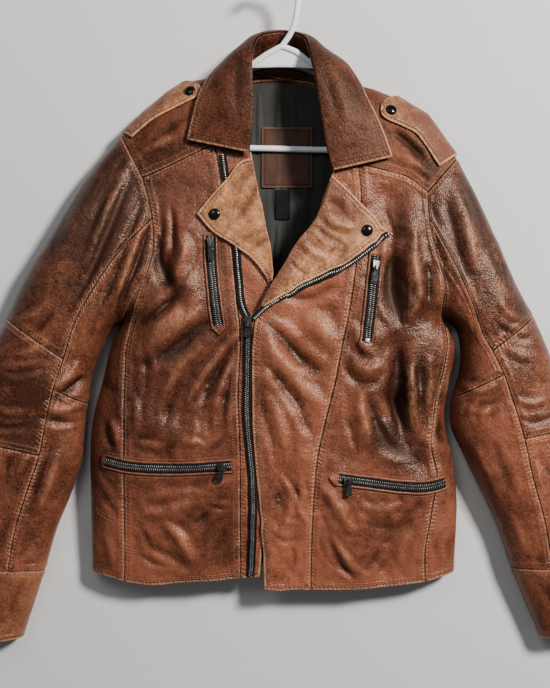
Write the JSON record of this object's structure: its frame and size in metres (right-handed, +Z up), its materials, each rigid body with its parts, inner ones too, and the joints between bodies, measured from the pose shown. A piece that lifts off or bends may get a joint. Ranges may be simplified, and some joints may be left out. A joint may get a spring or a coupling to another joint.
{
  "type": "leather jacket on a clothes hanger",
  "caption": "Worn brown leather biker jacket laid flat on its back, unzipped at the neck, with a plastic hanger inside; the zip pulls swing.",
  "frame": {"origin": "on the surface that the back lies on, under the middle of the back", "axes": "+X towards the wearer's left, +Y from the hem to the collar, +Z up from the surface, out of the front"},
  "size_m": [0.9409, 0.9038, 0.0797],
  "materials": {
    "dark_leather": "worn glossy grain leather, oxblood brown with darker mottling",
    "chestnut_leather": "worn glossy grain leather, chestnut brown",
    "worn_leather": "worn glossy grain leather, rubbed lighter to orange brown",
    "tan_leather": "worn satin grain leather, tan",
    "lining_cloth": "matt dark olive twill lining",
    "label_leather": "embossed dark brown leather",
    "black_tape": "matt black woven tape",
    "zip_metal": "gunmetal, worn bright on its edges",
    "snap_metal": "glossy black",
    "hanger_plastic": "satin white"
  },
  "bodies": {
    "jacket": {"back_lining": "lining_cloth", "back_neck_facing": "chestnut_leather", "back_panel": "dark_leather", "collar_leaf": "chestnut_leather", "collar_stand": "dark_leather", "fabric_tab": "black_tape", "hanger": "hanger_plastic", "hanging_loop": "chestnut_leather", "label_patch": "label_leather", "left_chest_slider": "zip_metal", "left_chest_welt": "worn_leather", "left_chest_zip": "zip_metal", "left_cuff": "worn_leather", "left_elbow_panel": "worn_leather", "left_epaulette": "tan_leather", "left_epaulette_snap": "snap_metal", "left_forearm_inner": "chestnut_leather", "left_forearm_outer": "chestnut_leather", "left_front_centre": "chestnut_leather", "left_front_side": "dark_leather", "left_lapel": "tan_leather", "left_lapel_snap": "snap_metal", "left_pocket_slider": "zip_metal", "left_pocket_welt": "worn_leather", "left_pocket_zip": "zip_metal", "left_side_panel": "dark_leather", "left_upper_inner": "chestnut_leather", "left_upper_outer": "chestnut_leather", "left_yoke": "worn_leather", "left_zip_tape": "black_tape", "main_slider": "zip_metal", "main_zip": "black_tape", "right_chest_slider": "zip_metal", "right_chest_welt": "worn_leather", "right_chest_zip": "zip_metal", "right_cuff": "worn_leather", "right_elbow_panel": "worn_leather", "right_epaulette": "tan_leather", "right_epaulette_snap": "snap_metal", "right_forearm_inner": "chestnut_leather", "right_forearm_outer": "chestnut_leather", "right_front": "dark_leather", "right_front_edge": "chestnut_leather", "right_lapel": "tan_leather", "right_lapel_snap": "snap_metal", "right_pocket_slider": "zip_metal", "right_pocket_welt": "worn_leather", "right_pocket_zip": "zip_metal", "right_side_panel": "dark_leather", "right_upper_inner": "chestnut_leather", "right_upper_outer": "chestnut_leather", "right_yoke": "worn_leather", "right_zip_tape": "black_tape"},
    "main_pull": {"main_pull": "zip_metal"},
    "right_chest_pull": {"right_chest_pull": "zip_metal"},
    "left_chest_pull": {"left_chest_pull": "zip_metal"},
    "right_pocket_pull": {"right_pocket_pull": "zip_metal"},
    "left_pocket_pull": {"left_pocket_pull": "zip_metal"}
  },
  "joints": [
    {"name": "main_pull_hinge", "type": "hinge", "parent": "jacket", "child": "main_pull", "pos_m": [-0.03571, 0.02696, 0.07691], "axis": [-0.9978, 0.0499, 0.0443], "range_deg": [0, 165]},
    {"name": "right_chest_pull_hinge", "type": "hinge", "parent": "jacket", "child": "right_chest_pull", "pos_m": [-0.08527, 0.13209, 0.07354], "axis": [-0.9959, -0.0711, 0.0555], "range_deg": [0, 165]},
    {"name": "left_chest_pull_hinge", "type": "hinge", "parent": "jacket", "child": "left_chest_pull", "pos_m": [0.13435, 0.10215, 0.07101], "axis": [-0.9637, 0.1205, 0.2384], "range_deg": [0, 165]},
    {"name": "right_pocket_pull_hinge", "type": "hinge", "parent": "jacket", "child": "right_pocket_pull", "pos_m": [-0.07036, -0.16472, 0.07189], "axis": [-0.9762, 0.2169, 0.0022], "range_deg": [0, 165]},
    {"name": "left_pocket_pull_hinge", "type": "hinge", "parent": "jacket", "child": "left_pocket_pull", "pos_m": [0.09771, -0.18227, 0.07209], "axis": [-0.9864, -0.0548, 0.1547], "range_deg": [0, 165]}
  ]
}
